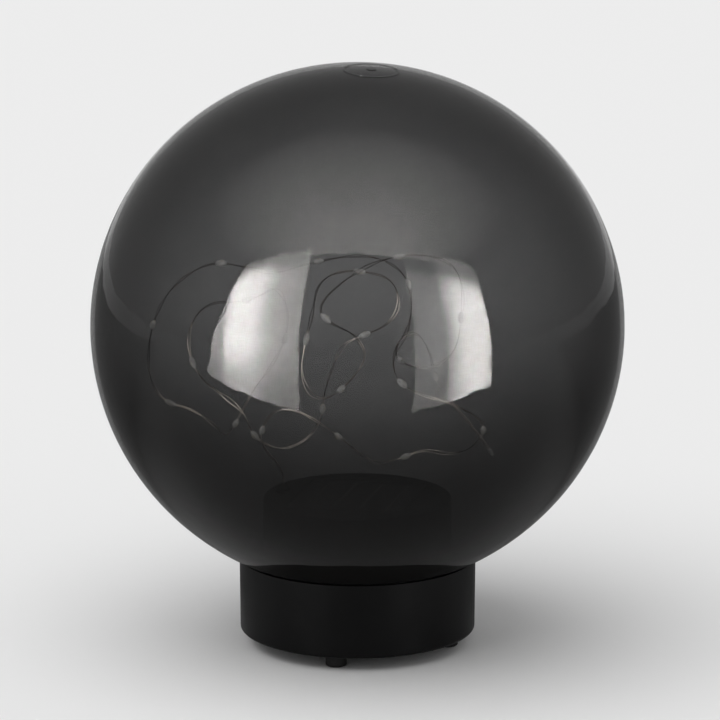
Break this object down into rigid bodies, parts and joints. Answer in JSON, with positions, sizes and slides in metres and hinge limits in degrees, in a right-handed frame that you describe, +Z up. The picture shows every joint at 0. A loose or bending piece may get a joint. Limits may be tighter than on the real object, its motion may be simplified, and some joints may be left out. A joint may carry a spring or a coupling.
{
  "type": "garden globe light",
  "caption": "Solar garden light: a smoked see-through globe twist-locked on a low round base, with a solar panel drum and a loose string of small lights inside.",
  "frame": {"origin": "on the ground, midway between the four feet, on the globe's axis", "axes": "+Z up along the globe's axis; -Y is the front, where the front foot stands; the light string leaves the drum on the -X side"},
  "size_m": [0.25, 0.25, 0.2766],
  "materials": {
    "smoked_clear": "high-gloss smoked see-through plastic",
    "base_black": "fine satin moulded plastic",
    "drum_black": "satin moulded plastic",
    "foot_rubber": "matt rubber",
    "seal_rubber": "matt rubber",
    "panel_resin": "clear cast resin",
    "solar_silicon": "dark blue silicon",
    "ribbon_silver": "tinned ribbon",
    "panel_laminate": "white laminate",
    "foam_tape": "foam tape",
    "wire_tinned": "thin lacquered wire",
    "drop_resin": "clear cast resin",
    "led_yellow": "light chip",
    "screw_steel": "zinc plated",
    "cell_sleeve": "shrink sleeve",
    "contact_nickel": "nickel plated",
    "board_green": "solder mask",
    "chip_black": "moulded epoxy",
    "ferrite_grey": "ferrite",
    "winding_copper": "enamelled wire",
    "capacitor_sleeve": "shrink sleeve",
    "connector_white": "natural nylon",
    "lead_red": "insulation",
    "lead_black": "insulation",
    "switch_black": "moulded plastic",
    "knob_white": "moulded plastic"
  },
  "bodies": {
    "base": {"globe_seal": "seal_rubber", "base_housing": "base_black", "drum": "drum_black", "panel_tape": "foam_tape", "panel_board": "panel_laminate", "solar_cells": "solar_silicon", "cell_ribbons": "ribbon_silver", "panel_resin": "panel_resin", "bottom_plate": "base_black", "battery_cell": "cell_sleeve", "cell_contact_plus": "contact_nickel", "cell_contact_minus": "contact_nickel", "cell_spring": "contact_nickel", "switch_body": "switch_black", "switch_lead_red": "lead_red", "switch_lead_black": "lead_black", "circuit_board": "board_green", "control_chip": "chip_black", "boost_coil": "ferrite_grey", "coil_winding": "winding_copper", "capacitor": "capacitor_sleeve", "resistors": "chip_black", "panel_socket": "connector_white", "panel_plug": "connector_white", "string_socket": "connector_white", "string_plug": "connector_white", "panel_lead_red": "lead_red", "panel_lead_black": "lead_black", "string_gland": "seal_rubber", "string_lead": "wire_tinned", "string_wire": "wire_tinned", "led_chips": "led_yellow", "led_drops": "drop_resin", "string_tip": "drop_resin", "plate_screws": "screw_steel", "drum_screws": "screw_steel", "board_screws": "screw_steel", "foot_front": "foot_rubber", "foot_right": "foot_rubber", "foot_back": "foot_rubber", "foot_left": "foot_rubber"},
    "globe_shell": {"globe": "smoked_clear"},
    "battery_cap": {"battery_cover": "base_black", "cover_seal": "seal_rubber"},
    "switch_slider": {"switch_knob": "knob_white"}
  },
  "joints": [
    {"name": "globe_twist", "type": "hinge", "parent": "base", "child": "globe_shell", "pos_m": [0, 0, 0.0402], "axis": [0, 0, 1], "range_deg": [0, 30]},
    {"name": "battery_cover_turn", "type": "hinge", "parent": "base", "child": "battery_cap", "pos_m": [0, 0, 0.0058], "axis": [0, 0, -1], "range_deg": [0, 45]},
    {"name": "switch_slide", "type": "slide", "parent": "base", "child": "switch_slider", "axis": [0.7071, 0.7071, 0], "range_m": [0, 0.0034]}
  ]
}
